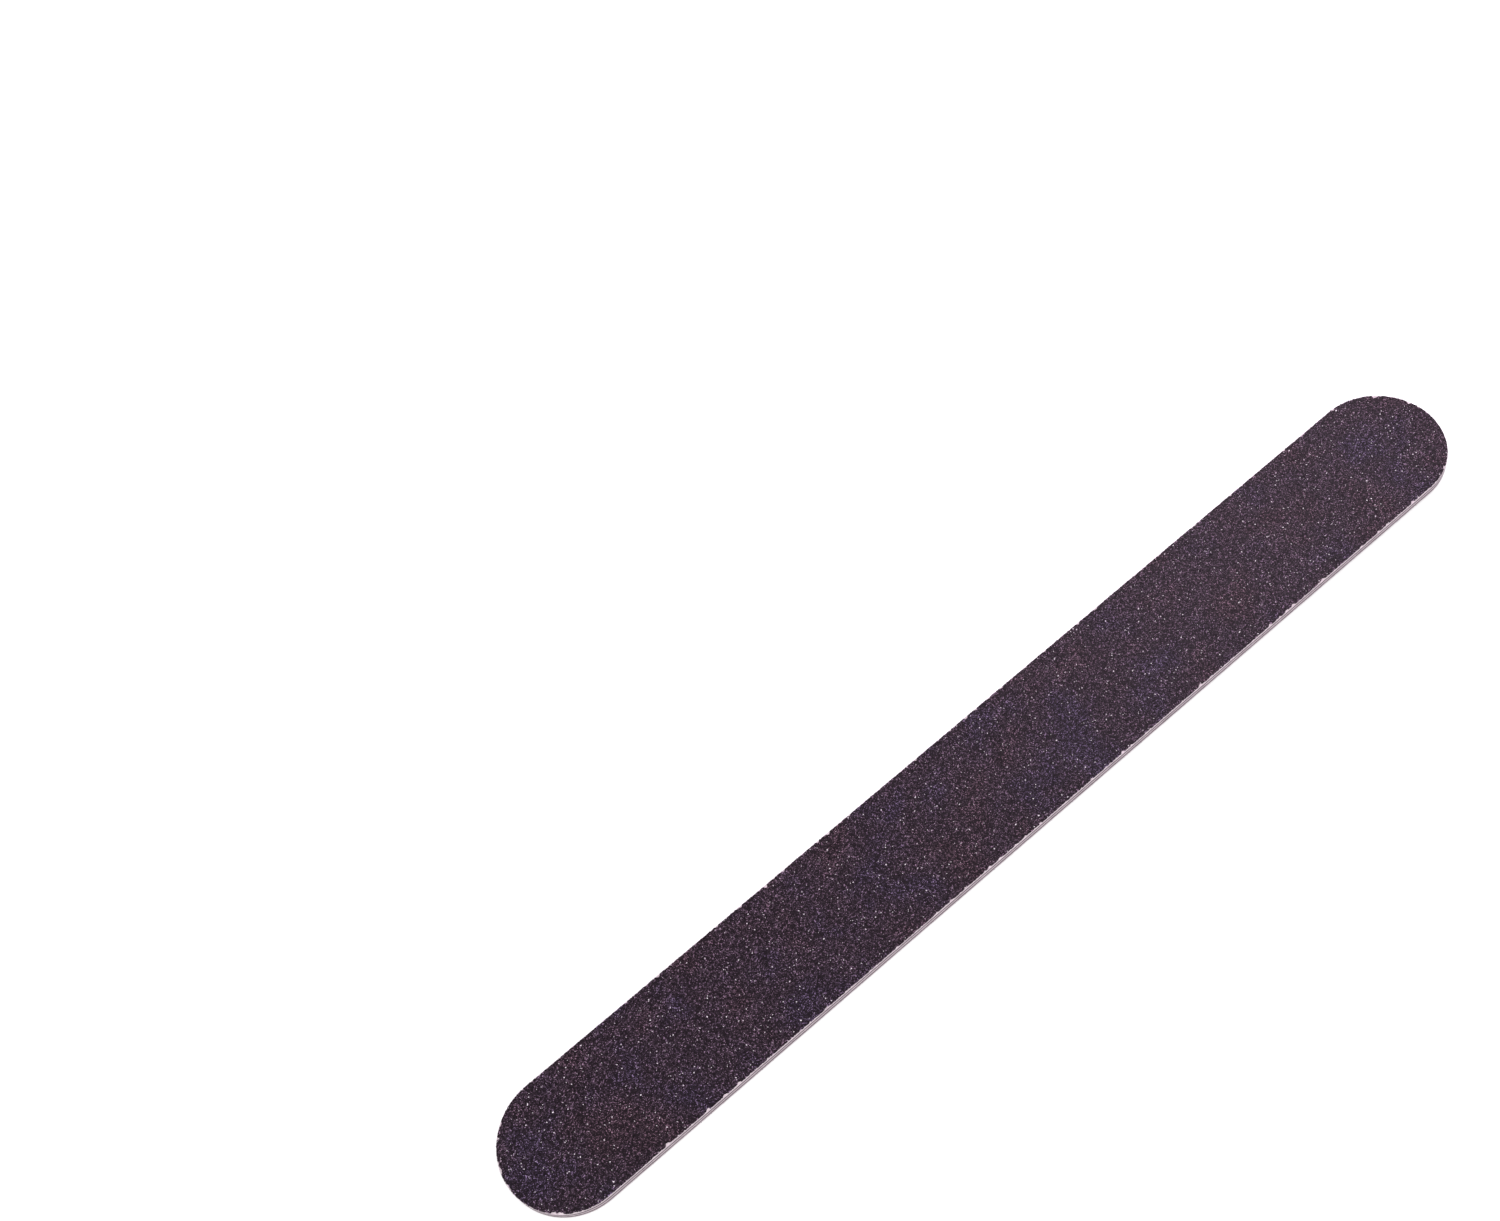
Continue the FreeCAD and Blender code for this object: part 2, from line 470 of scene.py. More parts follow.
def glue_material(colours):
    """Hardened glue in the groove between card and paper, with grey dust in it."""
    material, tree, shader = new_material("Laminating glue")
    skin = place_group(tree, shared_group("Resin skin", build_resin_group), {
        "Colour": opaque(colours.glue),
        "Edge colour": opaque(colours.card_shade),
    })
    connect(tree, shader, {
        "Base Color": skin["Colour"],
        "Roughness": skin["Roughness"],
        "Specular IOR Level": 0.3,
    })
    return material


def resin_material(colours):
    """Dark resin that the grain is set in."""
    material, tree, shader = new_material("Bond resin")
    skin = place_group(tree, shared_group("Resin skin", build_resin_group), {
        "Colour": opaque(colours.resin),
        "Edge colour": opaque(colours.resin_edge),
    })
    connect(tree, shader, {
        "Base Color": skin["Colour"],
        "Roughness": skin["Roughness"],
        "Normal": bump(tree, skin["Height"], strength=0.6, distance=0.03 * MM),
        "Specular IOR Level": 0.1,
    })
    return material


def grain_material(name, colours, pale_and_glint_share):
    """Abrasive grain, each one with the tone and tint that it carries."""
    material, tree, shader = new_material(name)
    grain = place_group(tree, shared_group("Grain tone", build_grain_group), {
        "Tone": add_node(tree, "ShaderNodeAttribute", {"attribute_name": TONE}).outputs["Fac"],
        "Tint": add_node(tree, "ShaderNodeAttribute", {"attribute_name": TINT}).outputs["Fac"],
        "Grain": opaque(colours.grain),
        # Pale colour: partly real pale crystals, partly painted glints.
        "Pale": opaque(colours.pale_grain_and_painted_glint),
        "Blue": opaque(colours.tint_blue),
        "Red": opaque(colours.tint_red),
        "Pale share": pale_and_glint_share,
    })
    connect(tree, shader, {
        "Base Color": grain["Colour"],
        "Roughness": grain["Roughness"],
        "Specular IOR Level": 0.06,
    })
    return material


def cut_outline(step):
    """Points evenly round the board's cut, from the right tip over the far side and back.

    Returns the point inside the board that each one belongs to and its outward direction. Point
    i and point -i face each other across the board, so a ladder of faces can close the outline.
    """
    quarter = END_RADIUS * math.pi / 2
    half = 2 * quarter + 2 * REACH
    steps = round(half / step)
    count = 2 * steps
    inner = np.zeros((count, 2))
    outward = np.zeros((count, 2))
    for number in range(count):
        run = half * min(number, count - number) / steps
        if run <= quarter:
            middle, angle = REACH, run / END_RADIUS
        elif run < quarter + 2 * REACH:
            middle, angle = REACH - (run - quarter), math.pi / 2
        else:
            middle, angle = -REACH, (run - 2 * REACH) / END_RADIUS
        side = 1 if number <= steps else -1
        inner[number] = middle, 0.0
        outward[number] = math.cos(angle), side * math.sin(angle)
    return inner, outward


def ring(inner, outward, inset, height):
    """One closed row of points at a height, with one inset from the cut for all or one for each."""
    radius = np.broadcast_to(END_RADIUS - np.asarray(inset), len(inner))
    points = np.zeros((len(inner), 3))
    points[:, :2] = inner + outward * radius[:, None]
    points[:, 2] = height
    return points


def ladder(count, base, up):
    """Faces that close a ring, each across the board between facing points."""
    half = count // 2
    faces = [(0, 1, count - 1)]
    faces += [(i, i + 1, count - i - 1, count - i) for i in range(1, half - 1)]
    faces += [(half - 1, half, half + 1)]
    faces = [tuple(base + i for i in face) for face in faces]
    return faces if up else [face[::-1] for face in faces]


def link_object(name, mesh):
    """Put a mesh into the scene under a name that nothing else has."""
    if name in bpy.data.objects:
        raise RuntimeError("there is already a piece named " + name)
    piece = bpy.data.objects.new(name, mesh)
    bpy.context.scene.collection.objects.link(piece)
    return piece


# How far inside the cut a rough rim's own strip of a flat face ends and its ladder begins: deeper than
# any chip, so that the ladder always closes a smooth outline.
LADDER_INSET = 1.0 * MM


def layer_object(name, inner, outward, rings, material):
    """A closed piece from rows of points, lowest first, with a flat lower and upper face."""
    foot = ring(inner, outward, LADDER_INSET, rings[0][0, 2])
    crown = ring(inner, outward, LADDER_INSET, rings[-1][0, 2])
    rings = [foot, *rings, crown]
    count = len(inner)
    faces = ladder(count, 0, up=False)
    for row in range(len(rings) - 1):
        low, high = row * count, (row + 1) * count
        for i in range(count):
            j = (i + 1) % count
            faces.append((low + i, low + j, high + j, high + i))
    faces += ladder(count, (len(rings) - 1) * count, up=True)
    mesh = bpy.data.meshes.new(name)
    mesh.from_pydata(np.vstack(rings).tolist(), [], faces)
    mesh.shade_flat()
    mesh.materials.append(material)
    if mesh.validate():
        raise RuntimeError(name + " has faces that cannot be")
    return link_object(name, mesh)


def dress(piece, node):
    """Let a finished piece stand for its node and ride with the board."""
    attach(piece, BODY)
    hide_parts(node)


# How the torn fibres of a cut differ: how fast finer ones fade, how much finer each step of them is,
# and how many steps there are.
TEAR_FADE = 0.8
TEAR_FINER = 2.1
TEAR_STEPS = 3


def fibre_noise(points, sizes, seed):
    """Roughness of a cut at some points, from 0 to 1: fibres that lie along the sheet."""
    values = []
    for x, y, z in points:
        spot = Vector((x / sizes.fibre_length, y / sizes.fibre_length, z / sizes.fibre_height + seed))
        values.append(0.5 + 0.5 * noise.fractal(spot, TEAR_FADE, TEAR_FINER, TEAR_STEPS))
    return np.clip(values, 0.0, 1.0)


def cut_rings(inner, outward, sizes, profile, fuzz, seed):
    """Rows of a cut wall: each row has its inset, and the fibres set every point further back."""
    rings = []
    for height, inset in profile:
        smooth = ring(inner, outward, inset, height)
        rough = fuzz * fibre_noise(smooth, sizes, seed)
        rings.append(ring(inner, outward, inset + rough, height))
    return rings


# Shares of a quarter turn at which a rolled edge has its rows of points, from its flat face on.
ROLL_TURNS = (1.0, 0.75, 0.5, 0.25)


def rolled_edge(level, roll, way):
    """Rows over a rolled edge, from the flat face at a level to the wall: height and inset of each."""
    rows = []
    for share in ROLL_TURNS:
        turn = math.pi / 2 * share
        rows.append((level + way * roll * (1 - math.sin(turn)), roll * (1 - math.cos(turn))))
    return rows


def wall_profile(low, high, roll_low, roll_high, step):
    """Rows of a wall whose lower and upper edge may be rolled over: height and inset of each."""
    profile = rolled_edge(low, roll_low, 1) if roll_low else []
    bottom, top = low + roll_low, high - roll_high
    rows = max(2, round((top - bottom) / step))
    profile += [(bottom + (top - bottom) * row / rows, 0.0) for row in range(rows + 1)]
    if roll_high:
        profile += rolled_edge(high, roll_high, -1)[::-1]
    return profile


# The map that a cut sheet is baked on: its wall in strips, one above the other, and its flat faces in
# a band each below them. The rest of each strip and band is the margin to the next one.
WALL_STRIPS = 24
STRIP_FILL = 0.9
FLAT_BAND = 0.12


def flat_places(count):
    """Map places of the points of a ladder: how far along the board and which side of it."""
    half = count // 2
    order = np.arange(count)
    along = np.minimum(order, count - order) / half
    across = np.where(order % half == 0, 0.5, order < half)
    return np.column_stack([along, across * FLAT_BAND * STRIP_FILL])


def wall_places(count, rows):
    """Map places of the corners of the wall's faces, row by row from the lowest."""
    length = math.ceil(count / WALL_STRIPS)
    strip, spot = np.divmod(np.arange(count), length)
    left, right = spot / length, (spot + 1) / length
    base = 2 * FLAT_BAND
    height = (1.0 - base) / WALL_STRIPS
    places = []
    for row in range(rows):
        low = base + height * (strip + STRIP_FILL * row / rows)
        high = base + height * (strip + STRIP_FILL * (row + 1) / rows)
        corners = [(left, low), (right, low), (right, high), (left, high)]
        places.append(np.stack([np.column_stack(corner) for corner in corners], axis=1).reshape(-1, 2))
    return np.vstack(places)


def map_cut_sheet(mesh, count):
    """Give a cut sheet the map that it is baked on, with room for the lines along its wall."""
    rows = len(mesh.vertices) // count - 1
    corners = np.empty(len(mesh.loops), dtype=np.int32)
    mesh.loops.foreach_get("vertex_index", corners)
    wall = wall_places(count, rows)
    flat = (len(corners) - len(wall)) // 2
    lower = flat_places(count)[corners[:flat]]
    upper = flat_places(count)[corners[-flat:] - rows * count] + (0.0, FLAT_BAND)
    places = np.vstack([lower, wall, upper])
    mesh.uv_layers.new(name=BAKE_MAP).data.foreach_set("uv", places.ravel().astype(np.float32))


def make_cut_sheet(name, node, material, sizes, rolls, fuzz, seed):
    """The card or a paper, with the fibres of its cut edge."""
    low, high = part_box(node)
    inner, outward = cut_outline(sizes.edge_step)
    profile = wall_profile(low.z, high.z, *rolls, sizes.row_step)
    rings = cut_rings(inner, outward, sizes, profile, fuzz, seed)
    piece = layer_object(name, inner, outward, rings, material)
    map_cut_sheet(piece.data, len(inner))
    dress(piece, node)


# How far a corner's height may differ from its flat face.
LEVEL_TOLERANCE = MM / 1000


def paper_roll(side):
    """How far a paper's edge is rolled over, from how far its flat face stops short of the cut."""
    node = frame["nodes"][side + "_backing_paper"]
    corners = np.array([corner.co for corner in node.data.vertices])
    level = corners[:, 2].max() if SIDES[side] > 0 else corners[:, 2].min()
    flat = corners[np.isclose(corners[:, 2], level, atol=LEVEL_TOLERANCE)]
    return END_RADIUS - flat[:, 1].max()


# The broken rim of the resin: how much of its drawn setback it keeps on average and at least, and from
# which value of the noise a chip begins and at which it is deepest.
RIM_MEAN = 0.35
RIM_LEAST = 0.2
CHIP_START = 0.20
CHIP_FULL = 0.70
# Depth of the crumbs along the rim, as a share of the deepest chip, and how much finer they are.
CRUMB_SHARE = 0.26
CRUMB_FINER = (3.1, 7.3)
# Section of the rim, as shares of the film's thickness: how far inwards and how high.
RIM_SECTION = [(0.0, 0.0), (0.1, 0.5), (0.3, 0.85), (0.5, 1.0)]


def chip_insets(inner, outward, nominal, deepest, sizes, seed):
    """How far the resin lies inside the cut at each point of its broken rim."""
    insets = []
    for x, y in inner + outward * END_RADIUS:
        spot = Vector((x, y, seed * MM)) / sizes.chip_length
        chip = (noise.noise(spot) - CHIP_START) / (CHIP_FULL - CHIP_START)
        crumb = sum(noise.noise(spot * finer) for finer in CRUMB_FINER)
        insets.append(nominal * RIM_MEAN + deepest * (min(1.0, max(0.0, chip)) + CRUMB_SHARE * crumb))
    return np.maximum(insets, nominal * RIM_LEAST)


def make_resin(side, sizes, material):
    """The resin film of one side, with a rim that the blade has chipped."""
    node = side + "_bond_coat"
    low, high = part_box(node)
    facing = SIDES[side]
    foot, crown = (low.z, high.z) if facing > 0 else (high.z, low.z)
    deepest = getattr(sizes, side + "_chip")
    inner, outward = cut_outline(sizes.edge_step)
    rim = chip_insets(inner, outward, END_RADIUS - high.y, deepest, sizes, facing * CHIP_SEED)
    height = crown - foot
    rings = []
    for inwards, up in RIM_SECTION:
        rings.append(ring(inner, outward, rim + abs(height) * inwards, foot + height * up))
    rings = rings if facing > 0 else rings[::-1]
    piece = layer_object(side + "_resin", inner, outward, rings, material)
    dress(piece, node)


# Inputs of the tree that strews the grain: the resin film it lies on, the way that it faces, how close
# and large the grains are, between which heights and how far outwards they reach, and the stretch.
GRAIN_SOCKETS = [
    ("Bed", "NodeSocketGeometry", None),
    ("Facing", "NodeSocketFloat", 1.0),
    ("Spacing", "NodeSocketFloat", 0.2 * MM),
    ("Crowding", "NodeSocketFloat", 5.0),
    ("Smallest", "NodeSocketVector", (0.0, 0.0, 0.0)),
    ("Largest", "NodeSocketVector", (0.0, 0.0, 0.0)),
    ("Lowest", "NodeSocketFloat", 0.0),
    ("Highest", "NodeSocketFloat", 0.0),
    ("Reach", "NodeSocketFloat", 0.0),
    ("Rim", "NodeSocketFloat", 0.0),
    ("Start", "NodeSocketFloat", 0.0),
    ("End", "NodeSocketFloat", 0.0),
    ("Patches per metre", "NodeSocketFloat", 110.0),
    ("Seed", "NodeSocketInt", 0),
    ("Grain", "NodeSocketMaterial", None),
]
# How many sides each crystal has, and how far its corners are pushed out of true.
GRAIN_SIDES = (4, 3, 5, 4, 3, 4)
GRAIN_JITTER = 0.42
# Upright part of a face's normal from which grain is strewn on it.
BED_LEVEL = 0.999
# How far inside the cut the blade trims the grain, and the share of the overhang that it leaves.
TRIM_DEPTH = 0.02 * MM
RIM_OVERHANG = 0.15
# Between these values of their pattern the patches of the board go from the lowest tint to the highest.
LOW_PATCH = 0.25
HIGH_PATCH = 0.75
# Where a Random Value node has the lower end of its range and its result, for each kind of value.
RANDOM_SOCKETS = {"FLOAT_VECTOR": (0, 0), "FLOAT": (2, 1), "INT": (4, 2)}


def random_value(tree, kind, low, high, seed):
    """A random value for each element: a vector, a number or a whole number."""
    start, result = RANDOM_SOCKETS[kind]
    wires = {start: low, start + 1: high, "Seed": seed}
    return add_node(tree, "FunctionNodeRandomValue", {"data_type": kind}, wires).outputs[result]


def grain_shapes(tree):
    """A handful of crystals with flat faces: double cones of few sides, pushed out of true."""
    shapes = tree.nodes.new("GeometryNodeJoinGeometry")
    for number, sides in enumerate(GRAIN_SIDES):
        cones = add_node(tree, "GeometryNodeMeshUVSphere", None, {
            "Segments": sides,
            "Rings": 2,
            "Radius": 1.0,
        })
        push = random_value(tree, "FLOAT_VECTOR", (-GRAIN_JITTER,) * 3, (GRAIN_JITTER,) * 3, number)
        crystal = add_node(tree, "GeometryNodeSetPosition", None, {
            "Geometry": cones.outputs["Mesh"],
            "Offset": push,
        })
        flat = add_node(tree, "GeometryNodeSetShadeSmooth", None, {
            "Geometry": crystal.outputs["Geometry"],
            "Shade Smooth": False,
        })
        instance = add_node(tree, "GeometryNodeGeometryToInstance", None, {0: flat.outputs[0]})
        tree.links.new(instance.outputs[0], shapes.inputs[0])
    return shapes.outputs[0]


def store(tree, geometry, name, kind, domain, value):
    """Keep a value on the geometry under a name."""
    settings = {"data_type": kind, "domain": domain}
    wires = {"Geometry": geometry, "Name": name, "Value": value}
    return add_node(tree, "GeometryNodeStoreNamedAttribute", settings, wires).outputs["Geometry"]


def flat_stretch(tree, entry, here):
    """The flat faces of a resin film within one stretch of the board."""
    normal = add_node(tree, "GeometryNodeInputNormal").outputs["Normal"]
    upright = math_node(tree, "MULTIPLY", split_place(tree, normal)["Z"], entry["Facing"])
    flat = math_node(tree, "GREATER_THAN", upright, BED_LEVEL)
    along = split_place(tree, here)["X"]
    before_start = math_node(tree, "LESS_THAN", along, entry["Start"])
    before_end = math_node(tree, "LESS_THAN", along, entry["End"])
    inside = math_node(tree, "SUBTRACT", before_end, before_start)
    return add_node(tree, "GeometryNodeSeparateGeometry", {"domain": "FACE"}, {
        "Geometry": entry["Bed"],
        "Selection": math_node(tree, "MULTIPLY", flat, inside),
    }).outputs["Selection"]


def strewn_points(tree, entry, bed):
    """Points all over the bed, none of them nearer to another than the spacing."""
    square = math_node(tree, "POWER", entry["Spacing"], 2.0)
    return add_node(tree, "GeometryNodeDistributePointsOnFaces", {"distribute_method": "POISSON"}, {
        "Mesh": bed,
        "Distance Min": entry["Spacing"],
        "Density Max": math_node(tree, "DIVIDE", entry["Crowding"], square),
        "Seed": entry["Seed"],
    }).outputs["Points"]


def turned_grains(tree, entry, points):
    """A grain on every point, with a shape, a turn and a size at random."""
    angles = random_value(tree, "FLOAT_VECTOR", (0.0,) * 3, (math.tau,) * 3, TURN_SEED)
    turn = add_node(tree, "FunctionNodeEulerToRotation", None, {0: angles})
    return add_node(tree, "GeometryNodeInstanceOnPoints", None, {
        "Points": points,
        "Instance": grain_shapes(tree),
        "Pick Instance": True,
        "Instance Index": random_value(tree, "INT", 0, len(GRAIN_SIDES) - 1, SHAPE_SEED),
        "Rotation": turn.outputs[0],
        "Scale": random_value(tree, "FLOAT_VECTOR", entry["Smallest"], entry["Largest"], SIZE_SEED),
    }).outputs["Instances"]


def toned_grains(tree, entry, grains, here):
    """Give each grain a tone at random, and the tint of the patch of the board that it lies in."""
    tone = random_value(tree, "FLOAT", 0.0, 1.0, TONE_SEED)
    patches = cloud_pattern(tree, here, entry["Patches per metre"], detail=3.0, roughness=0.6)
    tint = map_range(tree, patches, LOW_PATCH, HIGH_PATCH, smooth=False)
    toned = store(tree, grains, TONE, "FLOAT", "INSTANCE", tone)
    return store(tree, toned, TINT, "FLOAT", "INSTANCE", tint)


def trimmed_place(tree, entry, here):
    """The place of a grain's corner, pressed level with the coat and trimmed back to the cut."""
    spot = split_place(tree, here)
    height = math_node(tree, "MAXIMUM", spot["Z"], entry["Lowest"])
    height = math_node(tree, "MINIMUM", height, entry["Highest"])
    left = math_node(tree, "MULTIPLY", entry["Reach"], -1.0)
    middle = math_node(tree, "MAXIMUM", spot["X"], left)
    middle = math_node(tree, "MINIMUM", middle, entry["Reach"])
    along = math_node(tree, "SUBTRACT", spot["X"], middle)
    across = spot["Y"]
    squares = [math_node(tree, "MULTIPLY", part, part) for part in (along, across)]
    radius = math_node(tree, "SQRT", math_node(tree, "ADD", *squares))
    excess = math_node(tree, "SUBTRACT", radius, entry["Rim"])
    overhang = math_node(tree, "MULTIPLY", excess, RIM_OVERHANG)
    kept = math_node(tree, "MINIMUM", radius, math_node(tree, "ADD", entry["Rim"], overhang))
    share = math_node(tree, "DIVIDE", kept, radius)
    inwards = math_node(tree, "MULTIPLY", along, share)
    return join_place(
        tree,
        math_node(tree, "ADD", middle, inwards),
        math_node(tree, "MULTIPLY", across, share),
        height,
    )


def tone_map(tree):
    """A map place for each corner of a grain: its tone across, its tint up, and a little spread."""
    margin = 0.03
    spread = 0.008
    values = []
    for name in (TONE, TINT):
        settings = {"data_type": "FLOAT"}
        value = add_node(tree, "GeometryNodeInputNamedAttribute", settings, {"Name": name})
        carried = value.outputs["Attribute"]
        values.append(map_range(tree, carried, low=margin, high=1.0 - margin, smooth=False))
    aside = random_value(tree, "FLOAT_VECTOR", (-spread,) * 3, (spread,) * 3, MAP_SEED)
    return vector_node(tree, "ADD", join_place(tree, *values), aside)


def build_grain_tree(name):
    """Grain strewn closely over the flat of a resin film, each grain a solid of its own."""
    outputs = [("Grain", "NodeSocketGeometry")]
    tree, entry, leave = new_group(name, "GeometryNodeTree", GRAIN_SOCKETS, outputs)
    here = add_node(tree, "GeometryNodeInputPosition").outputs[0]
    points = strewn_points(tree, entry, flat_stretch(tree, entry, here))
    grains = turned_grains(tree, entry, points)
    grains = toned_grains(tree, entry, grains, here)
    solid = add_node(tree, "GeometryNodeRealizeInstances", None, {0: grains})
    settled = add_node(tree, "GeometryNodeSetPosition", None, {
        "Geometry": solid.outputs[0],
        "Position": trimmed_place(tree, entry, here),
    })
    mapped = store(tree, settled.outputs[0], BAKE_MAP, "FLOAT2", "CORNER", tone_map(tree))
    finished = add_node(tree, "GeometryNodeSetMaterial", None, {
        "Geometry": mapped,
        "Material": entry["Grain"],
    })
    connect(tree, leave, {"Grain": finished.outputs[0]})
    return tree


def strew_grain(name, bed, values):
    """One stretch of grain on a resin film, as a plain mesh."""
    tree = shared_group("Strewn grain", build_grain_tree)
    piece = link_object(name, bed.data.copy())
    modifier = piece.modifiers.new("Strewn grain", "NODES")
    modifier.node_group = tree
    for item in tree.interface.items_tree:
        if item.name in values and item.in_out == "INPUT":
            modifier[item.identifier] = values[item.name]
    depsgraph = bpy.context.evaluated_depsgraph_get()
    mesh = bpy.data.meshes.new_from_object(piece.evaluated_get(depsgraph))
    piece.modifiers.clear()
    bare = piece.data
    piece.data = mesh
    bpy.data.meshes.remove(bare)
    mesh.name = name
    if not mesh.polygons:
        raise RuntimeError(name + " has no grain")
    return piece


# In how many stretches along the board each side's grain is made, the seed that strews it, and
# which share of the grains is pale: partly real pale crystals, partly painted glints.
GRAIN_STRETCHES = {"coarse": 4, "fine": 5}
STREWING_SEEDS = {"coarse": 3, "fine": 5}
PALE_AND_GLINT_SHARES = {"coarse": 0.022, "fine": 0.02}
# Least and greatest half size of a grain, as shares of its mean size along and across the board and of
# its depth.
LEAST_SHARES = (0.30, 0.30, 0.36)
GREATEST_SHARES = (0.66, 0.66, 0.72)
# How deep the grain may sink into the resin film, as a share of the film's thickness.
SUNK_SHARE = 0.8


def make_grain(side, sizes, material):
    """The grain of one side, in stretches along the board."""
    bed = bpy.data.objects[side + "_resin"]
    node = side + "_grain_layer"
    low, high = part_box(node)
    film_low, film_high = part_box(side + "_bond_coat")
    mean = getattr(sizes, side + "_grain")
    spans = (mean, mean, min(high.z - low.z, mean))
    facing = SIDES[side]
    under = (film_high.z - film_low.z) * (1 - SUNK_SHARE)
    stretches = GRAIN_STRETCHES[side]
    for number in range(stretches):
        piece = strew_grain("%s_grain_%d" % (side, number + 1), bed, {
            "Facing": float(facing),
            "Spacing": getattr(sizes, side + "_spacing"),
            "Smallest": [span * share for span, share in zip(spans, LEAST_SHARES)],
            "Largest": [span * share for span, share in zip(spans, GREATEST_SHARES)],
            "Lowest": film_low.z + under if facing > 0 else low.z,
            "Highest": high.z if facing > 0 else film_high.z - under,
            "Reach": REACH,
            "Rim": END_RADIUS - TRIM_DEPTH,
            "Start": CORE_LOW.x + BOARD_LENGTH * number / stretches,
            "End": CORE_LOW.x + BOARD_LENGTH * (number + 1) / stretches,
            "Seed": STREWING_SEEDS[side],
            "Grain": material,
        })
        dress(piece, node)


class EMERY_OT_card_core(bpy.types.Operator):
    """Make the card in the middle of the board, with its cut edge"""

    bl_idname = "emery.card_core"
    bl_label = "Card core"

    def execute(self, context):
        sizes, colours = context.scene.emery_sizes, context.scene.emery_colours
        material = fibre_material(
            "Core card", colours.card, colours.card_shade, colours.soaked, CARD_PATTERN_SEED
        )
        make_cut_sheet(
            "core_card", "card_core", material, sizes,
            rolls=(0.0, 0.0), fuzz=sizes.core_fuzz, seed=CARD_CUT_SEED,
        )
        return {"FINISHED"}


class EMERY_OT_papers(bpy.types.Operator):
    """Make both backing papers, with their rolled and cut edges"""

    bl_idname = "emery.papers"
    bl_label = "Backing papers"

    def execute(self, context):
        sizes, colours = context.scene.emery_sizes, context.scene.emery_colours
        material = fibre_material(
            "Backing paper", colours.paper, colours.paper_shade, colours.soaked, PAPER_PATTERN_SEED
        )
        for side, facing in SIDES.items():
            roll = paper_roll(side)
            make_cut_sheet(
                side + "_paper", side + "_backing_paper", material, sizes,
                rolls=(0.0, roll) if facing > 0 else (roll, 0.0),
                fuzz=sizes.paper_fuzz, seed=facing * PAPER_CUT_SEED,
            )
        return {"FINISHED"}


class EMERY_OT_glue_films(bpy.types.Operator):
    """Give both glue films their finish"""

    bl_idname = "emery.glue_films"
    bl_label = "Glue films"

    def execute(self, context):
        material = glue_material(context.scene.emery_colours)
        for side in SIDES:
            mesh = frame["nodes"][side + "_glue_film"].data
            mesh.materials.clear()
            mesh.materials.append(material)
        return {"FINISHED"}


class EMERY_OT_resin(bpy.types.Operator):
    """Make both resin films, with their broken rims"""

    bl_idname = "emery.resin"
    bl_label = "Resin films"

    def execute(self, context):
        material = resin_material(context.scene.emery_colours)
        for side in SIDES:
            make_resin(side, context.scene.emery_sizes, material)
        return {"FINISHED"}


class EMERY_OT_coarse_grain(bpy.types.Operator):
    """Strew the coarse grain over the upper resin film"""

    bl_idname = "emery.coarse_grain"
    bl_label = "Coarse grain"

    def execute(self, context):
        material = grain_material("Coarse grain", context.scene.emery_colours, PALE_AND_GLINT_SHARES["coarse"])
        make_grain("coarse", context.scene.emery_sizes, material)
        return {"FINISHED"}


class EMERY_OT_fine_grain(bpy.types.Operator):
    """Strew the fine grain over the lower resin film"""

    bl_idname = "emery.fine_grain"
    bl_label = "Fine grain"

    def execute(self, context):
        material = grain_material("Fine grain", context.scene.emery_colours, PALE_AND_GLINT_SHARES["fine"])
        make_grain("fine", context.scene.emery_sizes, material)
        return {"FINISHED"}


# The camera, as found from the outline of the board in the picture.
CAMERA_TARGET = Vector((-8.45, 46.71, 1.99)) * MM
CAMERA_DISTANCE = 300.91 * MM
CAMERA_AZIMUTH = math.radians(-22.395)
CAMERA_ELEVATION = math.radians(58.571)
CAMERA_ROLL = math.radians(-19.31)
CAMERA_LENS = 46.57
CAMERA_SENSOR = 36.0
CAMERA_CLIP = CAMERA_DISTANCE / 100

# Side of the square floor in board lengths, how far its clouds are darker, and how fine these are.
FLOOR_SIDE = 60
FLOOR_SHADE = 0.985
FLOOR_CLOUDS_PER_METRE = 3.0

# The studio's light. The panels have their place, target and side in board lengths.
WHITE = (1.0, 1.0, 1.0)
AIR_STRENGTH = 0.78
PANELS = {
    "key_panel": {
        "place": (-0.6, -1.0, 2.6),
        "target": (0.0, 0.0, 0.0),
        "side": 1.1,
        "strength": 13.0,
        "colour": WHITE,
    },
    "end_panel": {
        "place": (1.0, 0.6, 1.3),
        "target": (0.4, 0.0, 0.0),
        "side": 1.0,
        "strength": 7.5,
        "colour": (1.0, 0.84, 1.0),
    },
}


def direction(azimuth, elevation):
    """The way back from a target to a camera: azimuth 0 looks along +Y."""
    flat = math.cos(elevation)
    return Vector((math.sin(azimuth) * flat, -math.cos(azimuth) * flat, math.sin(elevation)))


def make_camera():
    """The camera at the picture's viewing angle."""
    lens = bpy.data.cameras.new("picture_camera")
    lens.lens = CAMERA_LENS
    lens.sensor_width = CAMERA_SENSOR
    lens.clip_start = CAMERA_CLIP
    camera = bpy.data.objects.new("picture_camera", lens)
    back = direction(CAMERA_AZIMUTH, CAMERA_ELEVATION)
    camera.location = CAMERA_TARGET + back * CAMERA_DISTANCE
    camera.rotation_mode = "QUATERNION"
    camera.rotation_quaternion = back.to_track_quat("Z", "Y") @ Quaternion((0, 0, 1), CAMERA_ROLL)
    bpy.context.scene.collection.objects.link(camera)
    bpy.context.scene.camera = camera


def make_panel(name, place, target, side, strength, colour):
    """A soft square light that points at a spot on the board."""
    panel = bpy.data.lights.new(name, "AREA")
    panel.size = side * BOARD_LENGTH
    panel.energy = strength * panel.size ** 2 * math.pi
    panel.color = colour
    light = bpy.data.objects.new(name, panel)
    light.location = Vector(place) * BOARD_LENGTH
    way = light.location - Vector(target) * BOARD_LENGTH
    light.rotation_mode = "QUATERNION"
    light.rotation_quaternion = way.to_track_quat("Z", "Y")
    bpy.context.scene.collection.objects.link(light)


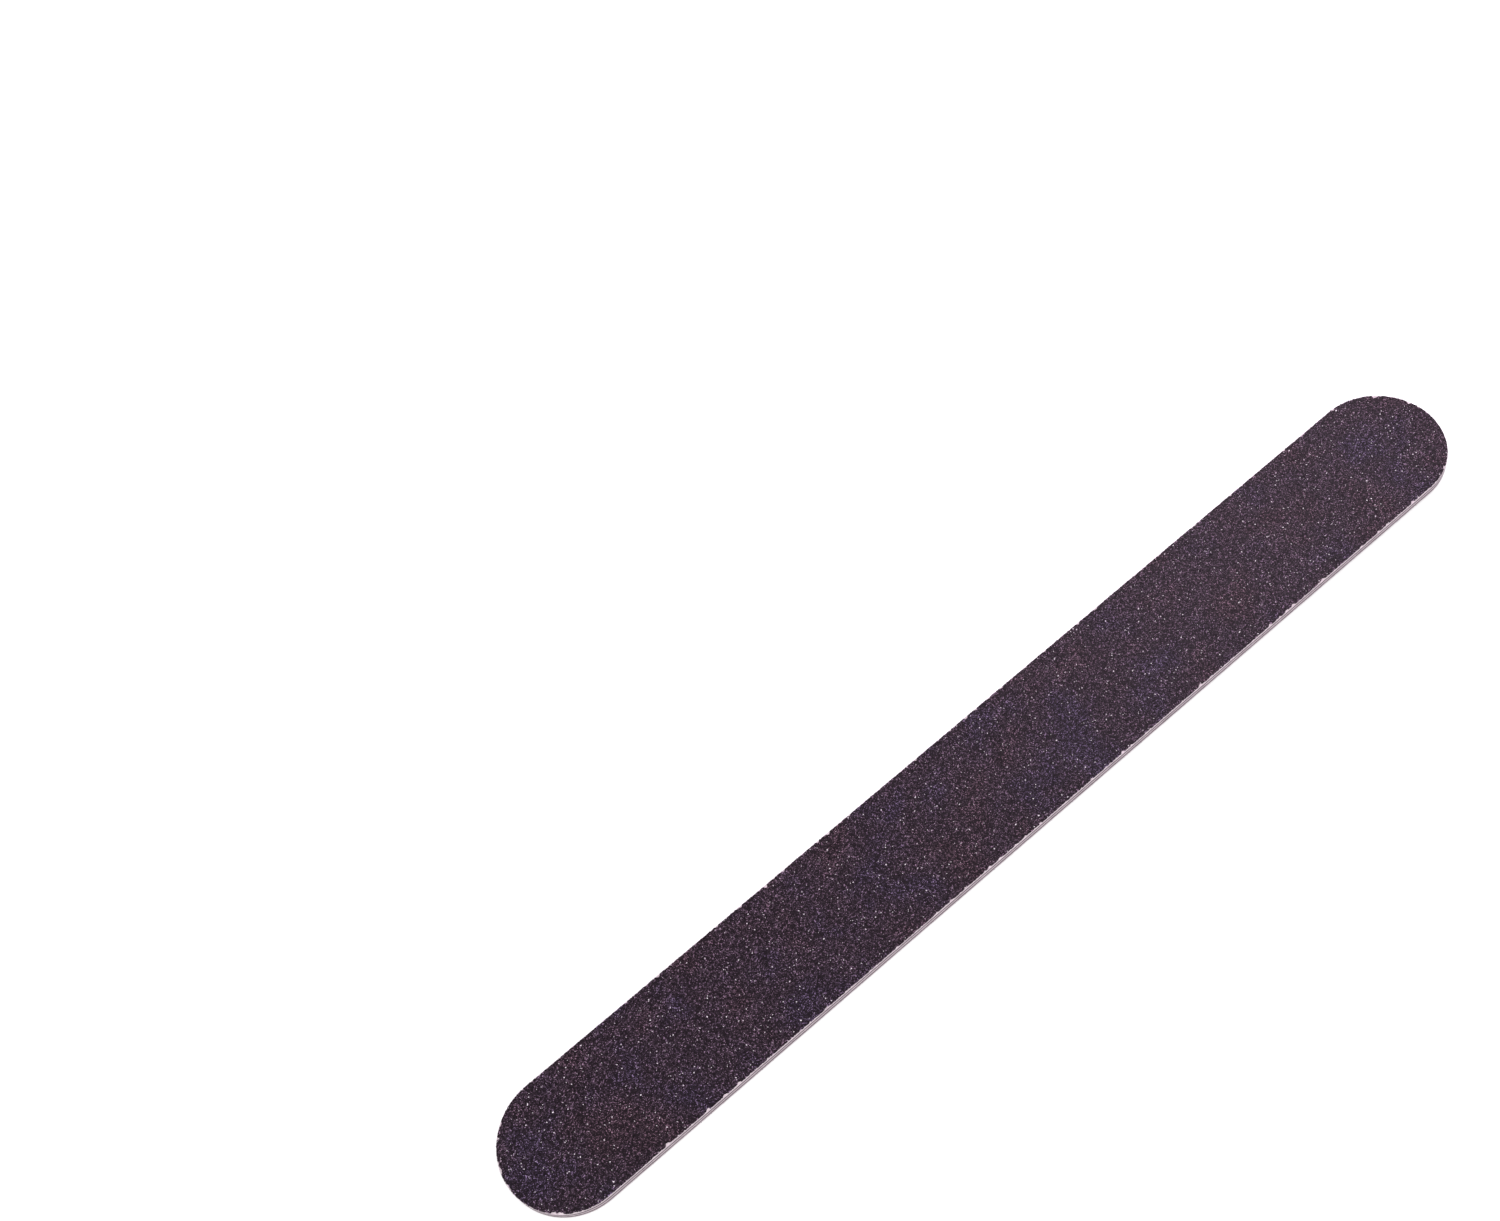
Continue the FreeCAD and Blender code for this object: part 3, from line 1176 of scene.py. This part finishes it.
def make_air(scene):
    """White light from all round, and colours that are shown as they are."""
    world = bpy.data.worlds.new("Studio air")
    world.use_nodes = True
    air = world.node_tree.nodes["Background"]
    connect(world.node_tree, air, {"Color": opaque(WHITE), "Strength": AIR_STRENGTH})
    scene.world = world
    scene.view_settings.view_transform = "Standard"


def floor_material(colours):
    """Matt white studio board, very slightly uneven."""
    material, tree, shader = new_material("Studio floor")
    clouds = cloud_pattern(tree, surface_place(tree), scale=FLOOR_CLOUDS_PER_METRE, detail=2.0)
    shade = [channel * FLOOR_SHADE for channel in colours.floor]
    connect(tree, shader, {
        "Base Color": mix_colours(tree, clouds, opaque(colours.floor), opaque(shade)),
        "Roughness": 0.9,
        "Specular IOR Level": 0.1,
    })
    return material


def make_floor(colours):
    """The floor that the board lies on."""
    half = FLOOR_SIDE * BOARD_LENGTH / 2
    mesh = bpy.data.meshes.new("studio_floor")
    corners = [(-half, -half, 0.0), (half, -half, 0.0), (half, half, 0.0), (-half, half, 0.0)]
    mesh.from_pydata(corners, [], [(0, 1, 2, 3)])
    mesh.materials.append(floor_material(colours))
    link_object("studio_floor", mesh)


class EMERY_OT_stage(bpy.types.Operator):
    """Set up the floor, the light and the camera"""

    bl_idname = "emery.stage"
    bl_label = "Studio stage"

    def execute(self, context):
        make_floor(context.scene.emery_colours)
        make_air(context.scene)
        for name, settings in PANELS.items():
            make_panel(name, **settings)
        make_camera()
        return {"FINISHED"}


STEPS = [
    EMERY_OT_card_core,
    EMERY_OT_papers,
    EMERY_OT_glue_films,
    EMERY_OT_resin,
    EMERY_OT_coarse_grain,
    EMERY_OT_fine_grain,
    EMERY_OT_stage,
]


class EMERY_PT_sidebar(bpy.types.Panel):
    """Lists the steps that dress the emery board, and its sizes and colours"""

    bl_idname = "EMERY_PT_sidebar"
    bl_label = "Emery Board"
    bl_space_type = "VIEW_3D"
    bl_region_type = "UI"
    bl_category = "Emery Board"

    def draw(self, context):
        for step in STEPS:
            self.layout.operator(step.bl_idname, text=step.bl_label)
        for settings in (context.scene.emery_sizes, context.scene.emery_colours):
            box = self.layout.box()
            for name in settings.__annotations__:
                box.prop(settings, name)


CLASSES = [EmerySizes, EmeryColours, *STEPS, EMERY_PT_sidebar]


def register():
    """Register the classes and give every scene its sizes and colours."""
    for item in CLASSES:
        bpy.utils.register_class(item)
    bpy.types.Scene.emery_sizes = bpy.props.PointerProperty(type=EmerySizes)
    bpy.types.Scene.emery_colours = bpy.props.PointerProperty(type=EmeryColours)


def unregister():
    """Take the sizes, the colours and the classes away again."""
    del bpy.types.Scene.emery_colours
    del bpy.types.Scene.emery_sizes
    for item in reversed(CLASSES):
        bpy.utils.unregister_class(item)


def main():
    """Register the add-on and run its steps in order."""
    register()
    bpy.ops.emery.card_core()
    bpy.ops.emery.papers()
    bpy.ops.emery.glue_films()
    bpy.ops.emery.resin()
    bpy.ops.emery.coarse_grain()
    bpy.ops.emery.fine_grain()
    bpy.ops.emery.stage()


if __name__ == "__main__":
    main()
